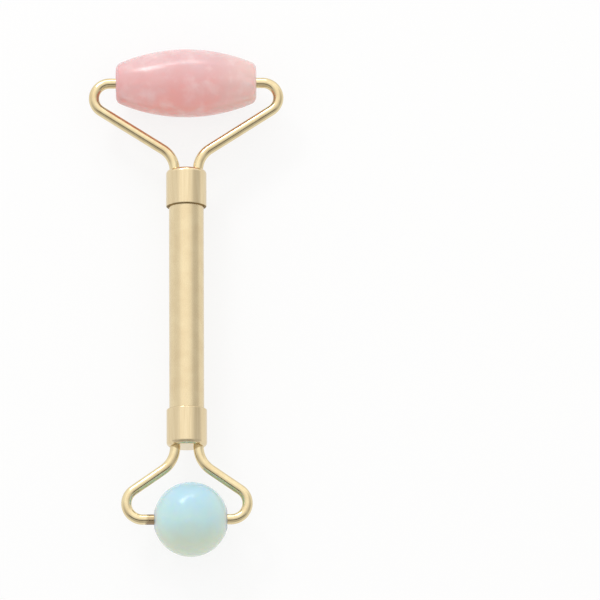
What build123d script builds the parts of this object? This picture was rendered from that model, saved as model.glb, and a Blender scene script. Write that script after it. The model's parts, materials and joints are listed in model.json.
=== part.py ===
from build123d import *
import math
import os

# A two-ended face roller: a tube handle with a wire fork at each end. The head fork holds a
# stone barrel and the tail fork a glass ball, and both turn freely. Millimetres throughout.
#
# It lies on the barrel and the ball, as it is put down on a table. +Y runs along the handle
# towards the barrel, +X along both axles, and +Z up. The origin is under the middle of the
# whole roller, on the surface that it lies on.

# ---- handle tube ----
TUBE_DIAMETER = 10.0
TUBE_WALL = 1.0
TUBE_SHOWN_LENGTH = 59.7  # bare tube between the open rims of the two ferrules
TUBE_END_CHAMFER = 0.3

# ---- ferrules: cups pressed from sheet, one on each end of the tube ----
FERRULE_LENGTH = 10.9
FERRULE_WALL = 0.8
FERRULE_RIM_RADIUS = 1.3  # outside radius round the closed end
FERRULE_MOUTH_RADIUS = 0.3  # rounding of the open rim
GLUE_GAP = 0.03  # gap all round in every glued fit

# ---- anchor plugs: hold the fork legs in the ferrule and centre it on the tube ----
PLUG_FLANGE_LENGTH = 5.0  # the grooved disc between the ferrule's end wall and the tube
PLUG_SPIGOT_LENGTH = 6.0  # the part inside the tube's bore
PLUG_CORNER_ROOM = 0.1  # what its chamfer adds to the ferrule's inside corner radius
PLUG_TIP_CHAMFER = 0.5

# ---- fork wire ----
WIRE_DIAMETER = 3.0
WIRE_END_CHAMFER = 0.3
LEG_EDGE_ROOM = 0.15  # from a leg's outer side to the line of the tube's outside
LEG_END_GAP = 0.2  # from a leg's inner end to the tube's end face

# ---- barrel stone ----
BARREL_LENGTH = 40.6
BARREL_DIAMETER = 19.7
BARREL_END_DIAMETER = 10.9
BARREL_EDGE_RADIUS = 2.2

# ---- head fork, around the barrel ----
BARREL_SIDE_ROOM = 4.8  # from the barrel's end to the inside of the arm's loop
BARREL_FERRULE_ROOM = 15.95  # from the barrel's crown to the ferrule's end face
HEAD_LOOP_RADIUS = 4.45  # of the wire's centreline, as every radius of an arm is
HEAD_NECK_RADIUS = 7.4

# ---- ball ----
BALL_DIAMETER = 21.5

# ---- tail fork, around the ball ----
BALL_SIDE_ROOM = 5.1
BALL_FERRULE_ROOM = 10.45
TAIL_LOOP_RADIUS = 4.7
TAIL_NECK_RADIUS = 8.2

# ---- bushes: cups glued into blind bores in the ends of both stones ----
BUSH_WALL = 0.95
BUSH_CLOSED_END = 0.8
BUSH_MOUTH_CHAMFER = 0.25
BUSH_RECESS = 0.1  # from the rim of the bore down to the bush's face
BORE_END_GAP = 0.2  # glue space behind a bush
BARREL_BUSH_LENGTH = 8.0
BALL_BUSH_LENGTH = 7.0
AXLE_CLEARANCE = 0.05  # running clearance all round the wire
BARREL_END_PLAY = 0.25  # from each wire tip to the closed end of its bush, barrel centred
BALL_END_PLAY = 1.3  # the same at the ball
BALL_REST_GAP = 0.2  # the ball lies slid towards +X, until this much play is left there

# ---- derived sizes ----
wire_radius = WIRE_DIAMETER / 2
tube_radius = TUBE_DIAMETER / 2
tube_bore_radius = tube_radius - TUBE_WALL
cup_radius = tube_radius + GLUE_GAP  # inside of a ferrule
ferrule_radius = cup_radius + FERRULE_WALL
cup_corner_radius = FERRULE_RIM_RADIUS - FERRULE_WALL
leg_offset = tube_radius - LEG_EDGE_ROOM - wire_radius  # leg centreline from the handle axis
leg_hole_radius = wire_radius + GLUE_GAP
plug_flange_end = FERRULE_WALL + PLUG_FLANGE_LENGTH  # depth of the tube's end in the ferrule
tube_length = TUBE_SHOWN_LENGTH + 2 * (FERRULE_LENGTH - plug_flange_end)

barrel_radius = BARREL_DIAMETER / 2
ball_radius = BALL_DIAMETER / 2
head_axle_height = barrel_radius + BARREL_FERRULE_ROOM  # from the ferrule's end face
tail_axle_height = ball_radius + BALL_FERRULE_ROOM
handle_length = TUBE_SHOWN_LENGTH + 2 * FERRULE_LENGTH
axle_distance = head_axle_height + handle_length + tail_axle_height

bush_bore_radius = wire_radius + AXLE_CLEARANCE
bush_radius = bush_bore_radius + BUSH_WALL
stone_bore_radius = bush_radius + GLUE_GAP
barrel_bush_face = BARREL_LENGTH / 2 - BUSH_RECESS
ball_bush_face = math.sqrt(ball_radius**2 - stone_bore_radius**2) - BUSH_RECESS
ball_shift = BALL_END_PLAY - BALL_REST_GAP

# ---- where it lies: both stones touch Z = 0, and the whole length is centred on Y = 0 ----
lean = math.asin((ball_radius - barrel_radius) / axle_distance)
along = Vector(0, math.cos(lean), -math.sin(lean))  # the handle axis, towards the barrel
above = Vector(0, math.sin(lean), math.cos(lean))
barrel_y = (axle_distance * math.cos(lean) + ball_radius - barrel_radius) / 2
barrel_centre = Vector(0, barrel_y, barrel_radius)
tail_axle_centre = barrel_centre - along * axle_distance
ball_centre = tail_axle_centre + Vector(ball_shift, 0, 0)
head_face_centre = barrel_centre - along * head_axle_height
tail_face_centre = tail_axle_centre + along * tail_axle_height
tube_end_centre = tail_face_centre + along * plug_flange_end

# Each fork plane has local X along +X and local Y away from the handle, from Y = 0 on the
# ferrule's end face. Each axle plane has its origin at the middle of a stone.
head_fork = Plane(origin=head_face_centre, x_dir=(1, 0, 0), z_dir=above)
tail_fork = Plane(origin=tail_face_centre, x_dir=(1, 0, 0), z_dir=-above)
barrel_plane = Plane(origin=barrel_centre, x_dir=(1, 0, 0), z_dir=above)
ball_plane = Plane(origin=ball_centre, x_dir=(1, 0, 0), z_dir=above)


def make_tube():
    """The bare handle tube, its ends hidden in the ferrules."""
    with BuildPart() as tube:
        with BuildSketch(Plane(origin=tube_end_centre, x_dir=(1, 0, 0), z_dir=along)):
            Circle(tube_radius)
            Circle(tube_bore_radius, mode=Mode.SUBTRACT)
        extrude(amount=tube_length)
        end_faces = tube.faces().filter_by(GeomType.PLANE)
        chamfer(end_faces.edges(), TUBE_END_CHAMFER)
    return tube.part


def make_ferrule(fork):
    """A pressed cup over the tube's end, with two holes for the fork legs."""
    with BuildPart() as ferrule:
        with BuildSketch(fork):
            with BuildLine():
                wall = FilletPolyline(
                    (0, 0),
                    (ferrule_radius, 0),
                    (ferrule_radius, -FERRULE_LENGTH),
                    (cup_radius, -FERRULE_LENGTH),
                    (cup_radius, -FERRULE_WALL),
                    (0, -FERRULE_WALL),
                    radius=[
                        FERRULE_RIM_RADIUS,
                        FERRULE_MOUTH_RADIUS,
                        FERRULE_MOUTH_RADIUS,
                        cup_corner_radius,
                    ],
                )
                Line(wall @ 1, wall @ 0)
            make_face()
        revolve(axis=Axis(fork.origin, fork.y_dir))
        with BuildSketch(Plane(origin=fork.origin, x_dir=(1, 0, 0), z_dir=fork.y_dir)):
            with GridLocations(2 * leg_offset, 0, 2, 1):
                Circle(leg_hole_radius)
        extrude(amount=-FERRULE_RIM_RADIUS, mode=Mode.SUBTRACT)
    return ferrule.part


def make_anchor_plug(fork):
    """A turned plug: its flange is grooved for the legs, its spigot sits in the tube."""
    flange_radius = cup_radius - GLUE_GAP
    spigot_radius = tube_bore_radius - GLUE_GAP
    flange_chamfer = cup_corner_radius + PLUG_CORNER_ROOM
    spigot_end = plug_flange_end + PLUG_SPIGOT_LENGTH
    with BuildPart() as plug:
        with BuildSketch(fork):
            with BuildLine():
                Polyline(
                    (0, -FERRULE_WALL),
                    (flange_radius - flange_chamfer, -FERRULE_WALL),
                    (flange_radius, -FERRULE_WALL - flange_chamfer),
                    (flange_radius, -plug_flange_end),
                    (spigot_radius, -plug_flange_end),
                    (spigot_radius, -spigot_end + PLUG_TIP_CHAMFER),
                    (spigot_radius - PLUG_TIP_CHAMFER, -spigot_end),
                    (0, -spigot_end),
                    close=True,
                )
            make_face()
        revolve(axis=Axis(fork.origin, fork.y_dir))
        inner_face = fork.origin - fork.y_dir * FERRULE_WALL
        with BuildSketch(Plane(origin=inner_face, x_dir=(1, 0, 0), z_dir=-fork.y_dir)):
            with GridLocations(2 * leg_offset, 0, 2, 1):
                Circle(leg_hole_radius)
            with GridLocations(2 * flange_radius, 0, 2, 1):
                Rectangle(2 * (flange_radius - leg_offset), 2 * leg_hole_radius)
        extrude(amount=PLUG_FLANGE_LENGTH, mode=Mode.SUBTRACT)
    return plug.part


def make_arm(fork, side, axle_height, stone_half, side_room, loop_radius, neck_radius, tip):
    """One bent wire: leg, neck bend, straight slant, loop, and the axle end at x = tip."""
    loop_x = stone_half + side_room + wire_radius - loop_radius
    loop_y = axle_height - loop_radius
    neck_x = leg_offset + neck_radius
    # The slant is the line that crosses between the two bends and touches both.
    centres_apart = math.hypot(loop_x - neck_x, loop_y)
    slant = math.atan2(loop_x - neck_x, loop_y)
    slant += math.asin((loop_radius + neck_radius) / centres_apart)
    slant_end_x = loop_x + loop_radius * math.cos(slant)
    slant_end_y = loop_y - loop_radius * math.sin(slant)
    slant_degrees = math.degrees(slant)
    with BuildPart() as arm:
        with BuildLine(fork):
            leg_start = (side * leg_offset, LEG_END_GAP - plug_flange_end)
            leg = Line(leg_start, (side * leg_offset, 0))
            neck = JernArc(leg @ 1, leg % 1, neck_radius, -side * slant_degrees)
            straight = Line(neck @ 1, (side * slant_end_x, slant_end_y))
            loop = JernArc(straight @ 1, straight % 1, loop_radius, side * (90 + slant_degrees))
            Line(loop @ 1, (side * tip, axle_height))
        with BuildSketch(Plane(origin=leg @ 0, z_dir=leg % 0)):
            Circle(wire_radius)
        sweep()
        chamfer(arm.faces().filter_by(GeomType.PLANE).edges(), WIRE_END_CHAMFER)
    return arm.part


def cut_bores(half_length, bush_face, bush_length):
    """Takes the two blind bush bores out of the half section of a stone."""
    bore_end = bush_face - bush_length - BORE_END_GAP
    bore_depth = half_length - bore_end
    for side in (-1, 1):
        with Locations((side * (half_length + bore_end) / 2, 0)):
            Rectangle(bore_depth, 2 * stone_bore_radius, mode=Mode.SUBTRACT)


def make_barrel():
    """A barrel-shaped stone: a crowned side between two flat ends with rounded edges."""
    half_length = BARREL_LENGTH / 2
    end_radius = BARREL_END_DIAMETER / 2
    with BuildPart() as barrel:
        with BuildSketch(barrel_plane) as section:
            with BuildLine():
                ThreePointArc(
                    (-half_length, end_radius), (0, barrel_radius), (half_length, end_radius)
                )
                Polyline(
                    (half_length, end_radius),
                    (half_length, 0),
                    (-half_length, 0),
                    (-half_length, end_radius),
                )
            make_face()
            fillet(section.vertices().group_by(Axis.Y)[-1], BARREL_EDGE_RADIUS)
            cut_bores(half_length, barrel_bush_face, BARREL_BUSH_LENGTH)
        revolve(axis=Axis(barrel_plane.origin, barrel_plane.x_dir))
    return barrel.part


def make_ball():
    """A round ball with a blind bore in each side."""
    with BuildPart() as ball:
        with BuildSketch(ball_plane):
            with BuildLine():
                half_circle = CenterArc((0, 0), ball_radius, 0, 180)
                Line(half_circle @ 1, half_circle @ 0)
            make_face()
            cut_bores(ball_radius, ball_bush_face, BALL_BUSH_LENGTH)
        revolve(axis=Axis(ball_plane.origin, ball_plane.x_dir))
    return ball.part


def make_bush(plane, side, face, length):
    """A cup bush: the wire end turns in its bore and bears on its closed end."""
    with BuildPart() as bush:
        with BuildSketch(plane):
            with BuildLine():
                Polyline(
                    (side * face, bush_radius),
                    (side * (face - length), bush_radius),
                    (side * (face - length), 0),
                    (side * (face - length + BUSH_CLOSED_END), 0),
                    (side * (face - length + BUSH_CLOSED_END), bush_bore_radius),
                    (side * (face - BUSH_MOUTH_CHAMFER), bush_bore_radius),
                    (side * face, bush_bore_radius + BUSH_MOUTH_CHAMFER),
                    close=True,
                )
            make_face()
        revolve(axis=Axis(plane.origin, plane.x_dir))
    return bush.part


def bush_floor(face, length):
    """Where the closed end of a bush begins, from the middle of its stone."""
    return face - length + BUSH_CLOSED_END


head_arm_sizes = (
    head_axle_height,
    BARREL_LENGTH / 2,
    BARREL_SIDE_ROOM,
    HEAD_LOOP_RADIUS,
    HEAD_NECK_RADIUS,
    bush_floor(barrel_bush_face, BARREL_BUSH_LENGTH) + BARREL_END_PLAY,
)
tail_arm_sizes = (
    tail_axle_height,
    ball_radius,
    BALL_SIDE_ROOM,
    TAIL_LOOP_RADIUS,
    TAIL_NECK_RADIUS,
    bush_floor(ball_bush_face, BALL_BUSH_LENGTH) + BALL_END_PLAY,
)

pieces = {
    "handle_tube": make_tube(),
    "head_ferrule": make_ferrule(head_fork),
    "tail_ferrule": make_ferrule(tail_fork),
    "head_anchor_plug": make_anchor_plug(head_fork),
    "tail_anchor_plug": make_anchor_plug(tail_fork),
    "barrel_stone": make_barrel(),
    "ball_stone": make_ball(),
}
for side, side_name in ((-1, "left"), (1, "right")):
    pieces["head_arm_" + side_name] = make_arm(head_fork, side, *head_arm_sizes)
    pieces["tail_arm_" + side_name] = make_arm(tail_fork, side, *tail_arm_sizes)
    pieces["barrel_bush_" + side_name] = make_bush(
        barrel_plane, side, barrel_bush_face, BARREL_BUSH_LENGTH
    )
    pieces["ball_bush_" + side_name] = make_bush(
        ball_plane, side, ball_bush_face, BALL_BUSH_LENGTH
    )

os.makedirs("parts", exist_ok=True)
for name, part in pieces.items():
    part.label = name
    export_step(part, "parts/" + name + ".step")
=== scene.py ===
# %% [markdown]
# # A two-ended face roller
#
# A face roller is a small hand tool: a tube handle, a wire fork at each end, a stone barrel
# in the large fork and a glass ball in the small one. The metal is plated pale gold, the
# barrel is rose quartz and the ball is opalite, a milky glass.
#
# The construction comes ready made, in metres, as a frame of named pieces. This lesson adds
# what the eye judges: light, finishes, wire that looks drawn and bent, and stones that look
# ground and polished by hand.

# %% The frame
import bpy
import bmesh
import json
import math
from mathutils import Matrix, Quaternion, Vector


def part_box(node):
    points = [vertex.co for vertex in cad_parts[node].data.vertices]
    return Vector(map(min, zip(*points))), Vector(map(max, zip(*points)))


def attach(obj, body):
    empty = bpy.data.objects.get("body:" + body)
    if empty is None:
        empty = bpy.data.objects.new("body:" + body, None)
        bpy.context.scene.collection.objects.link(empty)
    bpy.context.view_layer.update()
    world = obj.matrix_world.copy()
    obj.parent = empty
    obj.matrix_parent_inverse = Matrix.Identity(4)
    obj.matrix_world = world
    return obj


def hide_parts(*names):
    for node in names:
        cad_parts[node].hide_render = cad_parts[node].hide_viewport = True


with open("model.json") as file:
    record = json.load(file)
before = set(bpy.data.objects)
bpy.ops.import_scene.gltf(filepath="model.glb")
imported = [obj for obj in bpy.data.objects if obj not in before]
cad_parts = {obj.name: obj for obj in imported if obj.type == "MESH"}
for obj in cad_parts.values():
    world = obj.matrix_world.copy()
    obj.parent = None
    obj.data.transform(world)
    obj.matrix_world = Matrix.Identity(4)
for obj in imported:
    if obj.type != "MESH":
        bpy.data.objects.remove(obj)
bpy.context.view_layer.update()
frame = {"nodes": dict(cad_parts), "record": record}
MM = 0.001
print("nodes:", ", ".join(sorted(frame["nodes"])))

# %% [markdown]
# ## Where things are
#
# The roller lies on the barrel and the ball. Each stone turns about its axle, so the centre
# of its box is a point of that axle. The handle runs from one axle to the other. The forks
# lie in the plane that holds the handle and both axles, and it leans a little, because the
# ball is larger than the barrel.

# %% Axles and handle


def box_centre(node):
    low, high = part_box(node)
    return (low + high) / 2


barrel_centre = box_centre("barrel_stone")
ball_centre = box_centre("ball_stone")
head_axle = Vector((0, barrel_centre.y, barrel_centre.z))
tail_axle = Vector((0, ball_centre.y, ball_centre.z))
along = (head_axle - tail_axle).normalized()
sideways = Vector((1, 0, 0))
print("axles apart in mm:", round((head_axle - tail_axle).length / MM, 2))

# %% [markdown]
# ## Camera
#
# A product picture of a long thin thing is taken from far off with a long lens, so that both
# ends keep their size. This camera looks down on the roller from the ball's side, about
# twelve degrees off square. The roller stands left of the middle of the picture.

# %% Camera
VIEW_ELEVATION = math.radians(77.6)
VIEW_DISTANCE = 3.0
FRAME_WIDTH = 172.4 * MM
FRAME_CENTRE_X = 32.6 * MM
FRAME_CENTRE_UP = 2.6 * MM
CAMERA_ROLL = math.radians(-0.26)
SENSOR = 36.0

to_camera = Vector((0, -math.cos(VIEW_ELEVATION), math.sin(VIEW_ELEVATION)))
picture_up = Vector((0, math.sin(VIEW_ELEVATION), math.cos(VIEW_ELEVATION)))
handle_middle = (head_axle + tail_axle) / 2
rise = FRAME_CENTRE_UP - handle_middle.dot(picture_up)
target = handle_middle + sideways * FRAME_CENTRE_X + picture_up * rise

camera_data = bpy.data.cameras.new("camera")
camera_data.sensor_width = SENSOR
camera_data.lens = SENSOR * VIEW_DISTANCE / FRAME_WIDTH
camera = bpy.data.objects.new("camera", camera_data)
bpy.context.scene.collection.objects.link(camera)
camera.location = target + to_camera * VIEW_DISTANCE
camera.rotation_mode = "QUATERNION"
level_camera = (-to_camera).to_track_quat("-Z", "Y")
camera.rotation_quaternion = level_camera @ Quaternion((0, 0, 1), CAMERA_ROLL)
bpy.context.scene.camera = camera
bpy.context.scene.view_settings.view_transform = "Standard"
print("lens in mm:", round(camera_data.lens))

# %% [markdown]
# ## Colours and nodes
#
# Colours are written as the hex values that a screen shows, and one function turns them
# into the linear values that a shader works in. A second function adds a node to a tree,
# sets it up and links it, so that each tree below reads as a list of steps.
#
# Some nodes number their inputs. Those of Map Range are 0 for the value, 1 and 2 for the
# range that it comes from, and 3 and 4 for the range that it goes to, which is 0 to 1 when
# nothing else is said.

# %% Two helpers


def linear(hex_colour):
    """A screen colour such as "E0CDA5" as linear red, green, blue and alpha."""
    channels = [int(hex_colour[i : i + 2], 16) / 255 for i in (0, 2, 4)]
    return (
        *[c / 12.92 if c <= 0.04045 else ((c + 0.055) / 1.055) ** 2.4 for c in channels],
        1.0,
    )


def add(tree, kind, inputs=None, **settings):
    """Adds a node with its settings. An input takes a value, a socket, or a node, which
    gives its first output. An input is named or numbered."""
    node = tree.nodes.new(kind)
    for name, value in settings.items():
        setattr(node, name, value)
    for name, value in (inputs or {}).items():
        socket = node.inputs[name]
        if not socket.enabled:
            socket = next(s for s in node.inputs if s.enabled and s.name == socket.name)
        if isinstance(value, bpy.types.Node):
            value = next(s for s in value.outputs if s.enabled)
        if isinstance(value, bpy.types.NodeSocket):
            tree.links.new(value, socket)
        else:
            socket.default_value = value
    return node


print("half grey as a screen shows it, linear:", round(linear("808080")[0], 3))

# %% [markdown]
# ## Studio
#
# Polished metal shows its surroundings more than itself, so the studio is the first half of
# its finish. The roller stands in a white tent. What the metal mirrors is brightest on the
# barrel's side, and dimmer to the right and at the near side.
#
# The tent is the world. Each row of SHADES says towards what a ray has to point, between
# which two cosines the level changes, and from what to what. The levels are multiplied.

# %% The tent's shades
SHADES = (
    ((0, 1, 0), -0.6, 0.7, 0.58, 1.3),  # from dim near the eye to bright on the far side
    ((-0.2, 0.21, 0.957), 0.8, 0.96, 1.0, 1.12),  # a paler roof, over the handle
    ((0.88, 0.21, 0.42), 0.8, 0.99, 1.0, 0.66),  # a dim wall on the right
    ((-0.97, 0.21, 0.12), 0.6, 0.97, 1.0, 0.87),  # a slightly dim wall on the left
)

world = bpy.data.worlds.new("tent")
world.use_nodes = True
tree = world.node_tree
tree.nodes.clear()
ray = add(tree, "ShaderNodeTexCoord").outputs["Generated"]
mirrored_level = 1.0
for axis, low, high, level_low, level_high in SHADES:
    cosine = add(tree, "ShaderNodeVectorMath", {0: ray, 1: axis}, operation="DOT_PRODUCT")
    shade = add(
        tree,
        "ShaderNodeMapRange",
        {0: cosine, 1: low, 2: high, 3: level_low, 4: level_high},
        interpolation_type="SMOOTHSTEP",
    )
    mirrored_level = add(
        tree, "ShaderNodeMath", {0: mirrored_level, 1: shade}, operation="MULTIPLY"
    )
print("shades in the tent:", len(SHADES))

# %% [markdown]
# A dark band stands in the tent just below the camera, and gives each wire its thin dark
# line. A ray meets the band where it is nearly square to the band's normal, and the band
# fades out away from the camera's side.

# %% The dark band
BAND_NORMAL, BAND_INSIDE, BAND_OUTSIDE, BAND_LEVEL = (0, 0.866, 0.5), 0.08, 0.13, 0.04
BAND_SIDE, BAND_FADES_IN, BAND_FULL = (0, -0.5, 0.866), 0.6, 0.9

off_band = add(
    tree, "ShaderNodeVectorMath", {0: ray, 1: BAND_NORMAL}, operation="DOT_PRODUCT"
)
off_band = add(tree, "ShaderNodeMath", {0: off_band}, operation="ABSOLUTE")
band = add(
    tree,
    "ShaderNodeMapRange",
    {0: off_band, 1: BAND_INSIDE, 2: BAND_OUTSIDE, 3: BAND_LEVEL, 4: 1.0},
    interpolation_type="SMOOTHSTEP",
)
near_band = add(
    tree, "ShaderNodeVectorMath", {0: ray, 1: BAND_SIDE}, operation="DOT_PRODUCT"
)
near_band = add(
    tree,
    "ShaderNodeMapRange",
    {0: near_band, 1: BAND_FADES_IN, 2: BAND_FULL},
    interpolation_type="SMOOTHSTEP",
)
band = add(tree, "ShaderNodeMix", {"Factor": near_band, "A": 1.0, "B": band})
mirrored_level = add(
    tree, "ShaderNodeMath", {0: mirrored_level, 1: band}, operation="MULTIPLY"
)
print("band width in degrees:", round(2 * math.degrees(math.asin(BAND_INSIDE)), 1))

# %% [markdown]
# Only mirrored rays see these steps. The soft light that falls on the stones comes from a
# level that is nearly the same all round, so that their own colours show.

# %% The even light
EVEN_NEAR, EVEN_FAR = 0.90, 0.86
TENT_CLOTH = "FFFEFD"

far_side = add(tree, "ShaderNodeVectorMath", {0: ray, 1: (0, 1, 0)}, operation="DOT_PRODUCT")
even_level = add(
    tree, "ShaderNodeMapRange", {0: far_side, 1: -1.0, 2: 1.0, 3: EVEN_NEAR, 4: EVEN_FAR}
)
is_mirrored = add(tree, "ShaderNodeLightPath").outputs["Is Glossy Ray"]
level = add(
    tree, "ShaderNodeMix", {"Factor": is_mirrored, "A": even_level, "B": mirrored_level}
)
cloth = add(tree, "ShaderNodeBackground", {"Color": linear(TENT_CLOTH), "Strength": level})
add(tree, "ShaderNodeOutputWorld", {"Surface": cloth})
bpy.context.scene.world = world
print("nodes in the tent:", len(tree.nodes))

# %% [markdown]
# Two softboxes stand inside the tent, high on the barrel's side and a little left. The
# small one is the bright heart of the highlight on each stone. The long one is weaker, and
# draws the highlight out to the right. Radiance is how bright a box looks in a mirror, and
# an area lamp needs four watts on each square metre for a radiance of 1.

# %% Softboxes
BOX_DISTANCE = 1.2
BOX_LONG_SIDE = Vector((0.70, 0.28, -0.19))
WATTS_PER_SQUARE_METRE = 4
SOFTBOXES = {
    "small_softbox": ((-0.36, 0.705, 0.611), 0.28, 0.22, 6.0),
    "long_softbox": ((-0.19, 0.85, 0.49), 0.90, 0.20, 3.4),
}

for name, (direction, width, height, radiance) in SOFTBOXES.items():
    lamp = bpy.data.lights.new(name, "AREA")
    lamp.shape = "RECTANGLE"
    lamp.size, lamp.size_y = width, height
    lamp.energy = radiance * WATTS_PER_SQUARE_METRE * width * height
    softbox = bpy.data.objects.new(name, lamp)
    bpy.context.scene.collection.objects.link(softbox)
    facing = Vector(direction).normalized()
    across = (BOX_LONG_SIDE - facing * facing.dot(BOX_LONG_SIDE)).normalized()
    turn = Matrix((across, facing.cross(across), facing)).transposed().to_4x4()
    softbox.matrix_world = Matrix.Translation(handle_middle + facing * BOX_DISTANCE) @ turn
    print(name, "watts:", round(lamp.energy, 2))

# %% [markdown]
# The floor is white paper. In life its lit part would print as pure white, so rays that are
# seen, reflected or sent through glass get part of their floor from a plain glow, and the
# rest from the real shading, which keeps a soft shadow.

# %% Floor paper
FLOOR_GLOW = 0.8

white_paper = bpy.data.materials.new("white_paper")
white_paper.use_nodes = True
tree = white_paper.node_tree
tree.nodes.clear()
paper = add(tree, "ShaderNodeBsdfDiffuse", {"Color": linear("F8F8F7")})
glow = add(tree, "ShaderNodeEmission", {"Color": linear("FFFFFF"), "Strength": 1.0})
path = add(tree, "ShaderNodeLightPath")
shown = path.outputs["Is Camera Ray"]
for also in ("Is Glossy Ray", "Is Transmission Ray"):
    shown = add(
        tree, "ShaderNodeMath", {0: shown, 1: path.outputs[also]}, operation="MAXIMUM"
    )
share = add(tree, "ShaderNodeMath", {0: shown, 1: FLOOR_GLOW}, operation="MULTIPLY")
mix = add(tree, "ShaderNodeMixShader", {0: share, 1: paper, 2: glow})
add(tree, "ShaderNodeOutputMaterial", {"Surface": mix})
print("share of the floor that glows:", FLOOR_GLOW)

# %% Floor
FLOOR_RADIUS = 4.0

floor_mesh = bpy.data.meshes.new("floor")
floor = bpy.data.objects.new("floor", floor_mesh)
bpy.context.scene.collection.objects.link(floor)
build = bmesh.new()
bmesh.ops.create_circle(build, cap_ends=True, segments=64, radius=FLOOR_RADIUS)
build.to_mesh(floor_mesh)
build.free()
floor_mesh.materials.append(white_paper)
print("floor radius in metres:", FLOOR_RADIUS)

# %% [markdown]
# ## Sizes of the pieces that are shaped here
#
# The four wire arms and the two stones get their shown shape from Geometry Nodes, a tool
# that makes a mesh from a rule. A bent wire follows a path, and a turned stone follows an
# outline, so both have a rule. The sizes below are the ones that the maker would set on the
# bending jig and on the lathe. They are in millimetres, and MM turns them into metres.

# %% Sizes
WIRE_DIAMETER = 3.0
WIRE_END_CHAMFER = 0.3
WIRE_FROM_MIDDLE = 3.35
LEG_INSIDE_FERRULE = 5.6
TUBE_SHOWN_LENGTH = 59.7
FERRULE_LENGTH = 10.9
STONE_BORE_RADIUS = 2.53
BORE_PAST_BUSH = 0.2
BUSH_CLOSED_END = 0.8
BARREL_EDGE_RADIUS = 2.2
BARREL_END_DIAMETER = 10.9

HEAD_FORK = {"axle_height": 25.8, "neck_radius": 7.4, "loop_radius": 4.45, "end_play": 0.25}
TAIL_FORK = {"axle_height": 21.2, "neck_radius": 8.2, "loop_radius": 4.7, "end_play": 1.3}
print("neck bends in mm:", HEAD_FORK["neck_radius"], TAIL_FORK["neck_radius"])

# %% [markdown]
# ## Finishes
#
# All the metal you see is plated or anodised the same pale gold. What tells the pieces apart
# is how each was made. Every pattern is noise on Object coordinates, which stay with the
# piece when it moves. Noise with a scale of 1 / size has blobs about that size across, and
# stretching the coordinates along the handle turns the blobs into streaks. Most noise lies
# between the values below, fine noise between the first two and clouds between the others.
# A pattern is spread between them.

# %% A start for every material
NOISE_LOW, NOISE_HIGH = 0.3, 0.7
CLOUD_LOW, CLOUD_HIGH = 0.35, 0.7


def new_material(name):
    """An empty material. Returns the material and its tree."""
    material = bpy.data.materials.new(name)
    material.use_nodes = True
    material.node_tree.nodes.clear()
    return material, material.node_tree


print("noise is spread between:", NOISE_LOW, NOISE_HIGH)

# %% [markdown]
# ### The tube: drawn, brushed and anodised
#
# An anodised tube isn't a mirror. The oxide is a fine grain, and the drawing die leaves faint
# streaks along the tube. Together they blur what the tube mirrors, and more so around the
# tube than along it, so bands of light run down the handle with soft edges.

# %% Tube: grain, streaks and clouds
# The real grain and streaks are too fine to show, so they are drawn as coarse as this.
TUBE_GRAIN, TUBE_STREAK, TUBE_CLOUD = 0.25 * MM, 0.5 * MM, 4 * MM
ALONG_TUBE = (1, 0.04, 1)

tube_finish, tree = new_material("satin_anodised_aluminium")
place = add(tree, "ShaderNodeTexCoord").outputs["Object"]
drawn = add(tree, "ShaderNodeVectorMath", {0: place, 1: ALONG_TUBE}, operation="MULTIPLY")
grain = add(
    tree, "ShaderNodeTexNoise", {"Vector": place, "Scale": 1 / TUBE_GRAIN, "Detail": 3}
)
streaks = add(
    tree, "ShaderNodeTexNoise", {"Vector": drawn, "Scale": 1 / TUBE_STREAK, "Detail": 3}
)
clouds = add(
    tree, "ShaderNodeTexNoise", {"Vector": place, "Scale": 1 / TUBE_CLOUD, "Detail": 4}
)
print("tube grain in mm:", TUBE_GRAIN / MM)

# %% Tube: the satin surface
cloudy = add(tree, "ShaderNodeMapRange", {0: clouds, 1: CLOUD_LOW, 2: CLOUD_HIGH})
tint = add(
    tree,
    "ShaderNodeMix",
    {"Factor": cloudy, "A": linear("E4D2AB"), "B": linear("DDC9A2")},
    data_type="RGBA",
)
rough = add(
    tree, "ShaderNodeMapRange", {0: streaks, 1: NOISE_LOW, 2: NOISE_HIGH, 3: 0.20, 4: 0.30}
)
streaked = add(tree, "ShaderNodeBump", {"Height": streaks, "Distance": 0.0015 * MM})
grained = add(
    tree, "ShaderNodeBump", {"Height": grain, "Distance": 0.002 * MM, "Normal": streaked}
)
surface = {"Base Color": tint, "Metallic": 1.0, "Roughness": rough, "Normal": grained}
shader = add(tree, "ShaderNodeBsdfPrincipled", surface)
add(tree, "ShaderNodeOutputMaterial", {"Surface": shader})
print("tube finish nodes:", len(tree.nodes))

# %% [markdown]
# ### The ferrules: pressed cups, polished and plated
#
# A pressed cup is buffed on a wheel before it is plated. It mirrors clearly, with light
# buffing streaks along the handle. The mouth's edge is cut and not buffed, so it is dull.
# It is also painted dark brown, as painted shade of the gap at the mouth, and so draws a
# thin dark line round the tube.

# %% Ferrules: where the cut edge is
CUT_FACE = (TUBE_SHOWN_LENGTH / 2 + 0.05) * MM
CUT_FACE_ENDS = (TUBE_SHOWN_LENGTH / 2 + 0.15) * MM
head_mouth = head_axle - along * (HEAD_FORK["axle_height"] + FERRULE_LENGTH) * MM
tube_middle = head_mouth - along * (TUBE_SHOWN_LENGTH / 2) * MM

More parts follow.
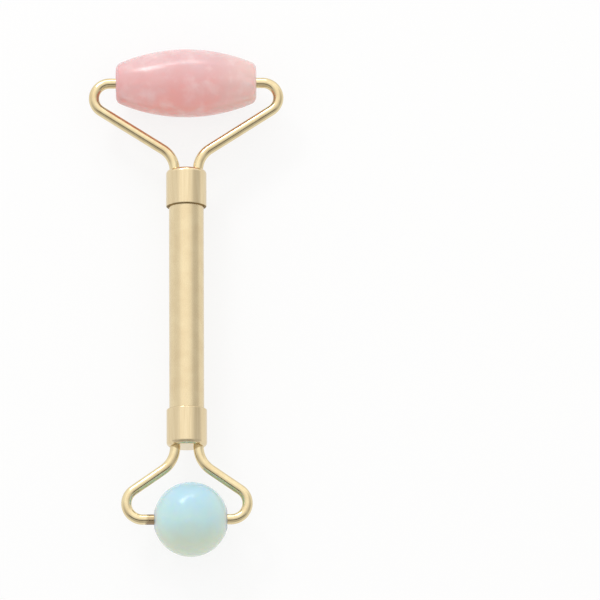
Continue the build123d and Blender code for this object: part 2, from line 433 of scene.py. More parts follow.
ferrule_finish, tree = new_material("polished_plated_brass")
place = add(tree, "ShaderNodeTexCoord").outputs["Object"]
from_middle = add(
    tree, "ShaderNodeVectorMath", {0: place, 1: tube_middle}, operation="SUBTRACT"
)
from_middle = add(
    tree, "ShaderNodeVectorMath", {0: from_middle, 1: along}, operation="DOT_PRODUCT"
)
from_middle = add(tree, "ShaderNodeMath", {0: from_middle}, operation="ABSOLUTE")
# This mask marks the dull cut edge, which is also painted dark as shade of the gap.
cut_edge_and_painted_shade = add(
    tree, "ShaderNodeMapRange", {0: from_middle, 1: CUT_FACE, 2: CUT_FACE_ENDS, 3: 1, 4: 0}
)
print("cut edge from the tube's middle in mm:", round(CUT_FACE / MM, 2))

# %% Ferrules: the buffed surface
# Real buffing streaks are too fine to show, so they are drawn as coarse as this.
FERRULE_STREAK, FERRULE_WEAR = 0.6 * MM, 1.5 * MM
ALONG_FERRULE = (1, 0.05, 1)

buffed = add(tree, "ShaderNodeVectorMath", {0: place, 1: ALONG_FERRULE}, operation="MULTIPLY")
streaks = add(
    tree, "ShaderNodeTexNoise", {"Vector": buffed, "Scale": 1 / FERRULE_STREAK, "Detail": 4}
)
wear = add(
    tree,
    "ShaderNodeTexNoise",
    {"Vector": place, "Scale": 1 / FERRULE_WEAR, "Detail": 5, "Roughness": 0.6},
)
streaky = add(tree, "ShaderNodeMapRange", {0: streaks, 1: CLOUD_LOW, 2: CLOUD_HIGH})
tint = linear("E5D3AD")
# The dark brown on the cut edge is painted shade of the gap at the mouth.
for share, colour in ((streaky, "DCC8A1"), (cut_edge_and_painted_shade, "8A7448")):
    tint = add(
        tree,
        "ShaderNodeMix",
        {"Factor": share, "A": tint, "B": linear(colour)},
        data_type="RGBA",
    )
sheen = add(
    tree, "ShaderNodeMapRange", {0: wear, 1: NOISE_LOW, 2: NOISE_HIGH, 3: 0.13, 4: 0.17}
)
rough = add(tree, "ShaderNodeMix", {"Factor": cut_edge_and_painted_shade, "A": sheen, "B": 0.5})
streaked = add(tree, "ShaderNodeBump", {"Height": streaks, "Distance": 0.0008 * MM})
surface = {"Base Color": tint, "Metallic": 1.0, "Roughness": rough, "Normal": streaked}
shader = add(tree, "ShaderNodeBsdfPrincipled", surface)
add(tree, "ShaderNodeOutputMaterial", {"Surface": shader})
print("ferrule finish nodes:", len(tree.nodes))

# %% [markdown]
# ### The wire: drawn, bent, polished and plated
#
# A die leaves fine lines along drawn wire, and they follow it round its bends. Object
# coordinates can't do that, so this pattern reads an attribute that each arm carries: where
# a point lies round the wire and along it.

# %% Wire: lines and clouds
WIRE_PLACE = "wire_place"
# Real die lines are too fine to show, so they are drawn as coarse as this.
WIRE_LINE, WIRE_CLOUD = 0.25 * MM, 2.5 * MM
ALONG_WIRE = (1, 1, 0.03)

wire_finish, tree = new_material("drawn_plated_wire")
wire_place = add(tree, "ShaderNodeAttribute", attribute_name=WIRE_PLACE).outputs["Vector"]
drawn = add(
    tree, "ShaderNodeVectorMath", {0: wire_place, 1: ALONG_WIRE}, operation="MULTIPLY"
)
lines = add(
    tree, "ShaderNodeTexNoise", {"Vector": drawn, "Scale": 1 / WIRE_LINE, "Detail": 3}
)
clouds = add(
    tree, "ShaderNodeTexNoise", {"Vector": wire_place, "Scale": 1 / WIRE_CLOUD, "Detail": 3}
)
print("lines on the wire in mm:", WIRE_LINE / MM)

# %% [markdown]
# Next to the ball, a dark brown painted shade lies on the wire where the ball meets it,
# strongest underneath, and the wire is made duller there. The shaded part is given by how
# far out a point lies along the tail axle, made uneven by the clouds.

# %% Wire: painted shade next to the ball
# The brown patch below is painted shade next to the ball, darker underneath.
SHADE_REACHES_OUT = 11.9 * MM
SHADE_FADES = 0.3 * MM
SHADE_UNEVEN = 0.8 * MM
TAIL_REACH = 3.0 * MM
SHADE_ON_TOP = 0.4

place = add(tree, "ShaderNodeTexCoord").outputs["Object"]
from_axle = add(tree, "ShaderNodeVectorMath", {0: place, 1: tail_axle}, operation="SUBTRACT")
parts = add(tree, "ShaderNodeSeparateXYZ", {0: from_axle})
out = add(tree, "ShaderNodeMath", {0: parts.outputs["X"]}, operation="ABSOLUTE")
uneven = add(
    tree, "ShaderNodeMapRange", {0: clouds, 1: NOISE_LOW, 2: NOISE_HIGH, 3: 0, 4: SHADE_UNEVEN}
)
out = add(tree, "ShaderNodeMath", {0: out, 1: uneven}, operation="ADD")
within_reach = add(
    tree,
    "ShaderNodeMapRange",
    {0: out, 1: SHADE_REACHES_OUT - SHADE_FADES, 2: SHADE_REACHES_OUT + SHADE_FADES, 3: 1, 4: 0},
)
off = add(tree, "ShaderNodeMath", {0: parts.outputs["Y"]}, operation="ABSOLUTE")
at_tail = add(tree, "ShaderNodeMath", {0: off, 1: TAIL_REACH}, operation="LESS_THAN")
underneath = add(
    tree,
    "ShaderNodeMapRange",
    {0: parts.outputs["Z"], 1: 0, 2: WIRE_DIAMETER / 2 * MM, 3: 1, 4: SHADE_ON_TOP},
)
painted_shade_and_dull = within_reach
for share in (at_tail, underneath):
    painted_shade_and_dull = add(tree, "ShaderNodeMath", {0: painted_shade_and_dull, 1: share}, operation="MULTIPLY")
print("wire rubbed out to, in mm:", SHADE_REACHES_OUT / MM)

# %% Wire: the plated surface
cloudy = add(tree, "ShaderNodeMapRange", {0: clouds, 1: CLOUD_LOW, 2: CLOUD_HIGH})
tint = linear("E6D6AC")
# The dark brown is painted shade next to the ball.
for share, colour in ((cloudy, "DCC79C"), (painted_shade_and_dull, "6E5040")):
    tint = add(
        tree,
        "ShaderNodeMix",
        {"Factor": share, "A": tint, "B": linear(colour)},
        data_type="RGBA",
    )
sheen = add(
    tree, "ShaderNodeMapRange", {0: lines, 1: NOISE_LOW, 2: NOISE_HIGH, 3: 0.08, 4: 0.14}
)
rough = add(tree, "ShaderNodeMix", {"Factor": painted_shade_and_dull, "A": sheen, "B": 0.35})
lined = add(tree, "ShaderNodeBump", {"Height": lines, "Distance": 0.0006 * MM})
surface = {"Base Color": tint, "Metallic": 1.0, "Roughness": rough, "Normal": lined}
shader = add(tree, "ShaderNodeBsdfPrincipled", surface)
add(tree, "ShaderNodeOutputMaterial", {"Surface": shader})
print("wire finish nodes:", len(tree.nodes))

# %% [markdown]
# ### The plugs: turned and left bare
#
# The plugs are hidden in the ferrules, so they keep the rings that the lathe tool leaves
# round the handle's axis. The rings are a tenth of a millimetre apart.

# %% Turned plugs
RING_SPACING = 0.1 * MM
ROUND_PLUG = (0.05, 1, 0.05)

plug_finish, tree = new_material("turned_aluminium")
place = add(tree, "ShaderNodeTexCoord").outputs["Object"]
turned = add(tree, "ShaderNodeVectorMath", {0: place, 1: ROUND_PLUG}, operation="MULTIPLY")
rings = add(tree, "ShaderNodeTexNoise", {"Vector": turned, "Scale": 1 / RING_SPACING})
rough = add(
    tree, "ShaderNodeMapRange", {0: rings, 1: NOISE_LOW, 2: NOISE_HIGH, 3: 0.25, 4: 0.45}
)
ringed = add(tree, "ShaderNodeBump", {"Height": rings, "Distance": 0.004 * MM})
bare = linear("D9DADB")
surface = {"Base Color": bare, "Metallic": 1.0, "Roughness": rough, "Normal": ringed}
shader = add(tree, "ShaderNodeBsdfPrincipled", surface)
add(tree, "ShaderNodeOutputMaterial", {"Surface": shader})
print("plug finish nodes:", len(tree.nodes))

# %% [markdown]
# ### The barrel: rose quartz, ground and polished
#
# Rose quartz is milky, because fine fibres scatter the light inside it. Light that enters
# comes out a few millimetres away, redder, so the side away from the lamps turns salmon.
# White veils and paler clouds hang in it. Both are noise, and a third noise bends their
# coordinates first, so that they flow as they do in a stone that has grown.

# %% Quartz: clouds and veils
QUARTZ_FLOW, QUARTZ_DRIFT = 9 * MM, 6 * MM
QUARTZ_CLOUD, QUARTZ_VEIL = 8 * MM, 4.5 * MM

quartz, tree = new_material("polished_rose_quartz")
place = add(tree, "ShaderNodeTexCoord").outputs["Object"]
place = add(tree, "ShaderNodeVectorMath", {0: place, 1: barrel_centre}, operation="SUBTRACT")
drift = add(
    tree, "ShaderNodeTexNoise", {"Vector": place, "Scale": 1 / QUARTZ_FLOW, "Detail": 3}
).outputs["Color"]
drift = add(
    tree, "ShaderNodeVectorMath", {0: drift, 1: (QUARTZ_DRIFT,) * 3}, operation="MULTIPLY"
)
flowing = add(tree, "ShaderNodeVectorMath", {0: place, 1: drift}, operation="ADD")
clouds = add(
    tree,
    "ShaderNodeTexNoise",
    {"Vector": flowing, "Scale": 1 / QUARTZ_CLOUD, "Detail": 5, "Roughness": 0.55},
)
veils = add(
    tree,
    "ShaderNodeTexNoise",
    {"Vector": flowing, "Scale": 1 / QUARTZ_VEIL, "Detail": 4, "Roughness": 0.5},
)
cloudy = add(tree, "ShaderNodeMapRange", {0: clouds, 1: 0.36, 2: 0.66, 3: 0, 4: 0.6})
veiled = add(tree, "ShaderNodeMapRange", {0: veils, 1: 0.50, 2: 0.76, 3: 0, 4: 0.5})
print("veils in mm:", QUARTZ_VEIL / MM)

# %% [markdown]
# This stone is painted a deeper salmon on its near, lower side, as painted shade on the
# side away from the lamps, and turns paler towards its right end. At its left end the bore
# shows through as a faint mauve shade.

# %% Quartz: painted shade side, pale end and bore
SHADE_SIDE_FROM, SHADE_SIDE_TO = -8 * MM, 8 * MM
PALE_END_FROM, PALE_END_TO = 9 * MM, 22 * MM
BORE_SHADE_FROM, BORE_SHADE_TO = 3.0 * MM, 7.0 * MM
LEFT_END_FROM, LEFT_END_TO = -20.5 * MM, -16 * MM

flow = add(tree, "ShaderNodeSeparateXYZ", {0: flowing})
parts = add(tree, "ShaderNodeSeparateXYZ", {0: place})
# The near, lower side is painted deeper, as painted shade.
painted_shade_side = add(
    tree, "ShaderNodeMapRange", {0: flow.outputs["Y"], 1: SHADE_SIDE_FROM, 2: SHADE_SIDE_TO, 3: 1, 4: 0}
)
pale_end = add(
    tree,
    "ShaderNodeMapRange",
    {0: flow.outputs["X"], 1: PALE_END_FROM, 2: PALE_END_TO, 3: 0, 4: 0.75},
)
across = add(tree, "ShaderNodeVectorMath", {0: place, 1: (0, 1, 1)}, operation="MULTIPLY")
from_axle = add(tree, "ShaderNodeVectorMath", {0: across}, operation="LENGTH")
near_axle = add(
    tree,
    "ShaderNodeMapRange",
    {0: from_axle, 1: BORE_SHADE_FROM, 2: BORE_SHADE_TO, 3: 0.6, 4: 0},
)
left_end = add(
    tree,
    "ShaderNodeMapRange",
    {0: parts.outputs["X"], 1: LEFT_END_FROM, 2: LEFT_END_TO, 3: 1, 4: 0},
)
bore_shade = add(tree, "ShaderNodeMath", {0: near_axle, 1: left_end}, operation="MULTIPLY")
print("bore shade reaches, in mm:", BORE_SHADE_TO / MM)

# %% [markdown]
# The tints are laid over each other like washes. The surface is polished in a drum, so its
# highlight is soft at the edges.

# %% Quartz: the polished surface
QUARTZ_WASHES = (
    # The first wash is painted shade.
    (painted_shade_side, "EFAAA2"),
    (cloudy, "E7C5C5"),
    (pale_end, "E9CCC5"),
    (veiled, "F3DEDC"),
    (bore_shade, "B98A99"),
)

tint = linear("E0BABC")
for share, colour in QUARTZ_WASHES:
    tint = add(
        tree,
        "ShaderNodeMix",
        {"Factor": share, "A": tint, "B": linear(colour)},
        data_type="RGBA",
    )
surface = {"Base Color": tint, "Roughness": 0.2, "IOR": 1.54}
scatter = {
    "Subsurface Weight": 1.0,
    "Subsurface Radius": (1.0, 0.4, 0.35),
    "Subsurface Scale": 3 * MM,
}
shader = add(tree, "ShaderNodeBsdfPrincipled", {**surface, **scatter})
add(tree, "ShaderNodeOutputMaterial", {"Surface": shader})
print("quartz nodes:", len(tree.nodes))

# %% [markdown]
# ### The ball: opalite, cast and polished
#
# Opalite is glass with particles so fine that they scatter blue light first. The lit side
# looks blue, and what has gone through the ball looks warm. The scattering distances below,
# long for red and short for blue, do part of it. The rest is painted light: a slow change of
# tint through the glass, blue on the upper far side, where the lamps are, and warm on the
# lower near side.

# %% Opalite: painted light, from warm to blue
BLUE_SIDE = (-0.1, 0.75, 0.65)
OPALITE_CLOUD, OPALITE_DRIFT = 9 * MM, 3 * MM
UPPER_FROM, UPPER_TO = -1.8 * MM, 4.2 * MM
BLUEST_FROM, BLUEST_TO = 5.5 * MM, 9.5 * MM

milk_glass, tree = new_material("polished_opalite")
place = add(tree, "ShaderNodeTexCoord").outputs["Object"]
place = add(tree, "ShaderNodeVectorMath", {0: place, 1: ball_centre}, operation="SUBTRACT")
clouds = add(
    tree,
    "ShaderNodeTexNoise",
    {"Vector": place, "Scale": 1 / OPALITE_CLOUD, "Detail": 2, "Roughness": 0.45},
)
drift = add(tree, "ShaderNodeMapRange", {0: clouds, 3: -OPALITE_DRIFT, 4: OPALITE_DRIFT})
to_blue = add(
    tree, "ShaderNodeVectorMath", {0: place, 1: BLUE_SIDE}, operation="DOT_PRODUCT"
)
to_blue = add(tree, "ShaderNodeMath", {0: to_blue, 1: drift}, operation="ADD")
# These masks paint the blue of the lit side and the warmth of light gone through.
painted_lit_upper = add(tree, "ShaderNodeMapRange", {0: to_blue, 1: UPPER_FROM, 2: UPPER_TO})
painted_lit_bluest = add(tree, "ShaderNodeMapRange", {0: to_blue, 1: BLUEST_FROM, 2: BLUEST_TO})
print("the tint drifts by, in mm:", OPALITE_DRIFT / MM)

# %% [markdown]
# Round the axle, the bore's seat is painted as it would show through the glass: a pale
# ring paints the white bush, and a darker ring inside it is painted shade in the bore.

# %% Opalite: the painted rings
PALE_RING_FROM, PALE_RING_TO = 4.0 * MM, 4.9 * MM
DARK_RING_FROM, DARK_RING_TO = 3.0 * MM, 4.0 * MM

across = add(tree, "ShaderNodeVectorMath", {0: place, 1: (0, 1, 1)}, operation="MULTIPLY")
from_axle = add(tree, "ShaderNodeVectorMath", {0: across}, operation="LENGTH")
# The pale ring paints the bush seen through the glass, the dark one painted shade.
painted_bush_seen_through = add(
    tree,
    "ShaderNodeMapRange",
    {0: from_axle, 1: PALE_RING_FROM, 2: PALE_RING_TO, 3: 0.85, 4: 0},
)
painted_bore_shade = add(
    tree,
    "ShaderNodeMapRange",
    {0: from_axle, 1: DARK_RING_FROM, 2: DARK_RING_TO, 3: 0.75, 4: 0},
)
print("pale ring across in mm:", round(2 * PALE_RING_TO / MM, 1))

# %% [markdown]
# As on the quartz, the tints are laid over each other like washes. The ball's highlight is
# soft at its edges too.

# %% Opalite: the polished surface
OPALITE_WASHES = (
    # The first two washes are painted light.
    (painted_lit_upper, "C6E3E4"),
    (painted_lit_bluest, "BADEEC"),
    # These two rings are painted: the bush seen through the glass, and shade in the bore.
    (painted_bush_seen_through, "D3D9D8"),
    (painted_bore_shade, "8AA5B5"),
)

tint = linear("CCD9C9")
for share, colour in OPALITE_WASHES:
    tint = add(
        tree,
        "ShaderNodeMix",
        {"Factor": share, "A": tint, "B": linear(colour)},
        data_type="RGBA",
    )
surface = {"Base Color": tint, "Roughness": 0.19, "IOR": 1.5}
scatter = {
    "Subsurface Weight": 1.0,
    "Subsurface Radius": (1.0, 0.7, 0.45),
    "Subsurface Scale": 3 * MM,
}
shader = add(tree, "ShaderNodeBsdfPrincipled", {**surface, **scatter})
add(tree, "ShaderNodeOutputMaterial", {"Surface": shader})
print("opalite nodes:", len(tree.nodes))

# %% [markdown]
# ### The bushes: moulded nylon
#
# White nylon is waxy and lets a little light through, and the mould gives it a fine grain.

# %% Nylon bushes
# The real grain is too fine to show, so it is drawn as coarse as this.
NYLON_GRAIN = 0.2 * MM

nylon, tree = new_material("moulded_nylon")
place = add(tree, "ShaderNodeTexCoord").outputs["Object"]
grain = add(tree, "ShaderNodeTexNoise", {"Vector": place, "Scale": 1 / NYLON_GRAIN})
rough = add(
    tree, "ShaderNodeMapRange", {0: grain, 1: NOISE_LOW, 2: NOISE_HIGH, 3: 0.35, 4: 0.5}
)
grained = add(tree, "ShaderNodeBump", {"Height": grain, "Distance": 0.003 * MM})
surface = {"Base Color": linear("E4E3DC"), "Roughness": rough, "Normal": grained}
scatter = {
    "Subsurface Weight": 0.3,
    "Subsurface Radius": (1.0, 0.9, 0.8),
    "Subsurface Scale": 0.5 * MM,
}
shader = add(tree, "ShaderNodeBsdfPrincipled", {**surface, **scatter})
add(tree, "ShaderNodeOutputMaterial", {"Surface": shader})
print("nylon nodes:", len(tree.nodes))

# %% [markdown]
# ### Finishes on the ready-made pieces
#
# Each piece of the frame has a slot, which says what it is made of. The arms and the stones
# are shaped again below, and get the same finishes.

# %% Finishes by slot
FINISH_OF_SLOT = {
    "tube_metal": tube_finish,
    "ferrule_metal": ferrule_finish,
    "wire_metal": wire_finish,
    "plug_metal": plug_finish,
    "rose_quartz": quartz,
    "opalite": milk_glass,
    "bush_nylon": nylon,
}
slot_of_node = {s["node"]: s["material_slot"] for s in frame["record"]["subparts"]}
for name, node in frame["nodes"].items():
    finish = FINISH_OF_SLOT[slot_of_node[name]]
    node.data.materials.clear()
    node.data.materials.append(finish)
print("finishes set on", len(frame["nodes"]), "pieces")

# %% [markdown]
# ## A small bench for Geometry Nodes
#
# Both rules need the same three steps: open a tree with named inputs, run it on a plain
# starting mesh, and keep the result as an ordinary mesh. Every tree ends in the same way,
# with real geometry and one material.

# %% Open a tree and end it
SOCKET_KIND = {
    "int": "NodeSocketInt",
    "float": "NodeSocketFloat",
    "vector": "NodeSocketVector",
    "material": "NodeSocketMaterial",
}


def new_tree(name, inputs):
    """A tree whose inputs are named in `inputs`, each with its kind. Returns tree, group in."""
    tree = bpy.data.node_groups.new(name, "GeometryNodeTree")
    tree.interface.new_socket("Geometry", in_out="INPUT", socket_type="NodeSocketGeometry")
    for label, kind in inputs.items():
        tree.interface.new_socket(label, in_out="INPUT", socket_type=SOCKET_KIND[kind])
    tree.interface.new_socket("Geometry", in_out="OUTPUT", socket_type="NodeSocketGeometry")
    return tree, tree.nodes.new("NodeGroupInput")


def end_tree(tree, group_in, geometry):
    """The last nodes of every tree: real geometry, one material, out."""
    real = add(tree, "GeometryNodeRealizeInstances", {"Geometry": geometry})
    finished = add(
        tree,
        "GeometryNodeSetMaterial",
        {"Geometry": real, "Material": group_in.outputs["Material"]},
    )
    add(tree, "NodeGroupOutput", {"Geometry": finished})
    print(tree.name, "has nodes:", len(tree.nodes))


print("kinds of input:", ", ".join(SOCKET_KIND))

# %% [markdown]
# A tree starts from a line through points, which is the plainest mesh there is. The input
# values are set by each socket's identifier, because two sockets could share a name.

# %% Start a tree and run it


def polyline(name, points, **point_values):
    """A mesh that is only a line through points, with a number stored on each point."""
    mesh = bpy.data.meshes.new(name)
    mesh.from_pydata(points, [(i, i + 1) for i in range(len(points) - 1)], [])
    for label, numbers in point_values.items():
        mesh.attributes.new(label, "FLOAT", "POINT").data.foreach_set("value", numbers)
    return mesh


def run_tree(name, start_mesh, tree, values):
    """Runs the tree on a mesh, and returns an object that holds the plain result."""
    piece = bpy.data.objects.new(name, start_mesh)
    bpy.context.scene.collection.objects.link(piece)
    modifier = piece.modifiers.new(tree.name, "NODES")
    modifier.node_group = tree
    for socket in tree.interface.items_tree:
        if socket.in_out == "INPUT" and socket.name in values:
            modifier[socket.identifier] = values[socket.name]
    evaluated = piece.evaluated_get(bpy.context.evaluated_depsgraph_get())
    result = bpy.data.meshes.new_from_object(evaluated)
    piece.modifiers.clear()
    piece.data = result
    result.name = name
    print(name, "faces:", len(result.polygons))
    return piece


def lowest(piece):
    """The lowest corner of a piece's box."""
    return Vector([min(v.co[axis] for v in piece.data.vertices) for axis in range(3)])


# %% [markdown]
# A swept or turned surface is smooth along its run, and has a real edge only where the
# metal or stone was cut. So each tree shades its mesh smooth, but for the edges that turn
# by more than an angle. The steps of a bend or of a turn stay below it.

# %% Keep cut edges crisp
CRISP_WIRE_EDGE, CRISP_STONE_EDGE = math.radians(25), math.radians(30)


def keep_edges_crisp(tree, mesh, angle):
    """Shades a mesh smooth, but for the edges sharper than the angle."""
    smooth = add(tree, "GeometryNodeSetShadeSmooth", {"Geometry": mesh})
    turn = add(tree, "GeometryNodeInputMeshEdgeAngle").outputs["Unsigned Angle"]
    sharp = add(tree, "ShaderNodeMath", {0: turn, 1: angle}, operation="GREATER_THAN")
    return add(
        tree,
        "GeometryNodeSetShadeSmooth",
        {"Geometry": smooth, "Selection": sharp, "Shade Smooth": False},
        domain="EDGE",
    )


print("a sharp edge on the wire turns by, in degrees:", round(math.degrees(CRISP_WIRE_EDGE)))

# %% [markdown]
# ## Wire arms
#
# Each arm is one length of wire. A straight leg stands in the ferrule, the neck bends it
# outwards, a straight slant leads to the loop, and the loop turns it back to the axle, where
# its end is the axle itself. A bender sets the straight runs and the radius of each bend.
# The tree does the same: it rounds the corners of a straight-sided line with Fillet Curve,
# and sweeps a circle along it.

# %% The bending tree: the path
bent_wire, sizes = new_tree(
    "bent_wire",
    {
        "Wire Radius": "float",
        "Sides Round": "int",
        "Steps in a Bend": "int",
        "Material": "material",
    },
)
line = add(bent_wire, "GeometryNodeMeshToCurve", {"Mesh": sizes.outputs["Geometry"]})
bend_radius, thickness = [
    add(bent_wire, "GeometryNodeInputNamedAttribute", {"Name": label}, data_type="FLOAT")
    for label in ("bend_radius", "thickness")
]
path = add(
    bent_wire,
    "GeometryNodeFilletCurve",
    {"Curve": line, "Count": sizes.outputs["Steps in a Bend"], "Radius": bend_radius},
    mode="POLY",
)
along_path = add(bent_wire, "GeometryNodeSplineParameter").outputs["Length"]
path_capture = add(bent_wire, "GeometryNodeCaptureAttribute", domain="POINT")
path_capture.capture_items.new("FLOAT", "along")
bent_wire.links.new(path.outputs["Curve"], path_capture.inputs["Geometry"])
bent_wire.links.new(along_path, path_capture.inputs["along"])
print("nodes for the path:", len(bent_wire.nodes))

# %% [markdown]
# Each point also stores where it lies round and along the wire. The fine lines that the die
# leaves in drawn wire can then follow the bends. The place round the wire is kept on the
# circle before it is swept, and the place along it on the path.

# %% The bending tree: the sweep
circle = add(
    bent_wire,
    "GeometryNodeCurvePrimitiveCircle",
    {"Resolution": sizes.outputs["Sides Round"], "Radius": sizes.outputs["Wire Radius"]},
)
on_circle = add(bent_wire, "GeometryNodeInputPosition").outputs["Position"]
circle_capture = add(bent_wire, "GeometryNodeCaptureAttribute", domain="POINT")
circle_capture.capture_items.new("VECTOR", "round")
bent_wire.links.new(circle.outputs["Curve"], circle_capture.inputs["Geometry"])
bent_wire.links.new(on_circle, circle_capture.inputs["round"])

wire = add(
    bent_wire,
    "GeometryNodeCurveToMesh",
    {
        "Curve": path_capture,
        "Profile Curve": circle_capture,
        "Scale": thickness,
        "Fill Caps": True,
    },
)
round_wire = add(bent_wire, "ShaderNodeSeparateXYZ", {0: circle_capture.outputs["round"]})
place = add(
    bent_wire,
    "ShaderNodeCombineXYZ",
    {
        "X": round_wire.outputs["X"],
        "Y": round_wire.outputs["Y"],
        "Z": path_capture.outputs["along"],
    },
)
placed = add(
    bent_wire,
    "GeometryNodeStoreNamedAttribute",
    {"Geometry": wire, "Name": WIRE_PLACE, "Value": place},
    data_type="FLOAT_VECTOR",
    domain="POINT",
)
end_tree(bent_wire, sizes, keep_edges_crisp(bent_wire, placed, CRISP_WIRE_EDGE))

# %% [markdown]
# The corners of the straight-sided line come from the sizes of the fork. The slant has to
# touch both bends, so its angle follows from the distance between their centres.
#
# A wire's cut ends are chamfered. A point a chamfer's length inside each end lets the sweep
# stay full up to there, and then grow thinner.

# %% Corners of an arm


def arm_corners(fork, half_span, tip):
    """Corners of an arm in its fork's plane, as (from the middle, from the ferrule)."""
    neck, loop = fork["neck_radius"], fork["loop_radius"]
    out = half_span - loop - WIRE_FROM_MIDDLE - neck
    up = fork["axle_height"] - loop
    slant = math.atan2(out, up) + math.asin((loop + neck) / math.hypot(out, up))
    loop_corner = loop * math.tan((math.pi / 2 + slant) / 2)
    print("slant of the arm in degrees:", round(math.degrees(slant), 1))
    return [
        (WIRE_FROM_MIDDLE, -LEG_INSIDE_FERRULE),
        (WIRE_FROM_MIDDLE, neck * math.tan(slant / 2)),
        (half_span - loop + loop_corner, fork["axle_height"]),
        (tip, fork["axle_height"]),
    ]


def chamfer_points(corners):
    """Adds a point a chamfer's length inside each end of the wire."""
    first, second, third, last = [Vector(corner) for corner in corners]
    inset = WIRE_END_CHAMFER
    after_first = first + (second - first).normalized() * inset
    before_last = last + (third - last).normalized() * inset
    return [first, after_first, second, third, before_last, last]


# %% [markdown]
# The tip stops a little short of the closed end of its bush, which leaves the stone its end
# play. The arms belong to the handle's body, so they stay still when a stone turns.

# %% Four arms


def make_arm(node, fork, axle, stone_centre, bush, side, forward):
    """One arm. `side` is 1 on the right, and `forward` points from the ferrule to the axle."""
    low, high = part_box(node)
    half_span = max(abs(low.x), abs(high.x)) / MM - WIRE_DIAMETER / 2
    bush_low, bush_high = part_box(bush)
    bush_end = (bush_low.x if side > 0 else bush_high.x) - stone_centre.x
    tip = abs(bush_end) / MM + BUSH_CLOSED_END + fork["end_play"]
    face = axle - forward * fork["axle_height"] * MM
    points = [
        face + sideways * (side * x * MM) + forward * (y * MM)
        for x, y in chamfer_points(arm_corners(fork, half_span, tip))
    ]
    end_scale = 1 - WIRE_END_CHAMFER / (WIRE_DIAMETER / 2)
    line = polyline(
        node + "_line",
        points,
        bend_radius=[0, 0, fork["neck_radius"] * MM, fork["loop_radius"] * MM, 0, 0],
        thickness=[end_scale, 1, 1, 1, 1, end_scale],
    )
    arm = run_tree(
        node + "_wire",
        line,
        bent_wire,
        {
            "Wire Radius": WIRE_DIAMETER / 2 * MM,
            "Sides Round": 40,
            "Steps in a Bend": 20,
            "Material": wire_finish,
        },
    )
    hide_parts(node)
    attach(arm, "handle")
    print(node, "corners off the box:", [round(v, 4) for v in (low - lowest(arm)) / MM])


for side, word in ((-1, "left"), (1, "right")):
    for end, fork, axle, centre, bush, forward in (
        ("head", HEAD_FORK, head_axle, barrel_centre, "barrel_bush_", along),
        ("tail", TAIL_FORK, tail_axle, ball_centre, "ball_bush_", -along),
    ):
        make_arm(end + "_arm_" + word, fork, axle, centre, bush + word, side, forward)

# %% [markdown]
# ## Ground stones
#
# Both stones are ground to a former while they turn, and then polished in a drum. They come
# out nearly true, but a hand-fed stone keeps slow waves a few hundredths of a millimetre
# deep. They can't be seen in the outline, and they are what makes a reflection on stone
# wander where one on machined metal runs straight.
#
# The tree first turns an outline round the axle. It sweeps the outline round a circle of
# LATHE_RADIUS, and the outline is drawn that far inside it, so that its ends meet on the
# axle and are welded there. The circle lies flat, so the stone is then tipped on its side.

# %% The grinding tree: turned
LATHE_RADIUS = 20.0 * MM
WELD = 0.001 * MM
TIPPED = (0, math.pi / 2, 0)

turned_stone, sizes = new_tree(
    "turned_stone",
    {
        "Centre": "vector",
        "Steps Round": "int",
        "Wave Depth": "float",
        "Wave Size": "float",
        "Bore Radius": "float",
        "Seed": "float",
        "Material": "material",
    },
)
outline = add(turned_stone, "GeometryNodeMeshToCurve", {"Mesh": sizes.outputs["Geometry"]})
circle = add(
    turned_stone,
    "GeometryNodeCurvePrimitiveCircle",
    {"Resolution": sizes.outputs["Steps Round"], "Radius": LATHE_RADIUS},
)
turned = add(
    turned_stone, "GeometryNodeCurveToMesh", {"Curve": circle, "Profile Curve": outline}
)
closed = add(
    turned_stone, "GeometryNodeMergeByDistance", {"Geometry": turned, "Distance": WELD}
)
on_axle = add(
    turned_stone, "GeometryNodeTransform", {"Geometry": closed, "Rotation": TIPPED}
)
print("nodes for turning:", len(turned_stone.nodes))

# %% [markdown]
# Then it sinks the surface by smooth noise. It only takes stone away, so the stone stays
# within its size. The waves fade out towards the bores, and leave them alone. The seed
# moves the noise, and gives each stone its own waves, the same in every run.

# %% The grinding tree: ground
WAVES_START, WAVES_FULL = 0.2 * MM, 2.0 * MM

place = add(turned_stone, "GeometryNodeInputPosition")
shifted = add(
    turned_stone, "ShaderNodeVectorMath", {0: place, 1: sizes.outputs["Seed"]}, operation="ADD"
)
per_size = add(
    turned_stone, "ShaderNodeMath", {0: 1.0, 1: sizes.outputs["Wave Size"]}, operation="DIVIDE"
)
waves = add(
    turned_stone, "ShaderNodeTexNoise", {"Vector": shifted, "Scale": per_size, "Detail": 1.0}
)
across = add(
    turned_stone, "ShaderNodeVectorMath", {0: place, 1: (0, 1, 1)}, operation="MULTIPLY"
)
from_axle = add(turned_stone, "ShaderNodeVectorMath", {0: across}, operation="LENGTH")
past_bore = add(
    turned_stone,
    "ShaderNodeMath",
    {0: from_axle, 1: sizes.outputs["Bore Radius"]},
    operation="SUBTRACT",
)
fade = add(
    turned_stone,
    "ShaderNodeMapRange",
    {0: past_bore, 1: WAVES_START, 2: WAVES_FULL},
    interpolation_type="SMOOTHSTEP",
)
depth = add(
    turned_stone,
    "ShaderNodeMath",
    {0: sizes.outputs["Wave Depth"], 1: fade},
    operation="MULTIPLY",
)
sink = add(turned_stone, "ShaderNodeMath", {0: waves, 1: depth}, operation="MULTIPLY")
outwards = add(turned_stone, "GeometryNodeInputNormal").outputs[0]
inwards = add(
    turned_stone, "ShaderNodeVectorMath", {0: outwards, "Scale": sink}, operation="SCALE"
)
inwards = add(
    turned_stone, "ShaderNodeVectorMath", {0: inwards, 1: (-1, -1, -1)}, operation="MULTIPLY"
)
ground = add(turned_stone, "GeometryNodeSetPosition", {"Geometry": on_axle, "Offset": inwards})
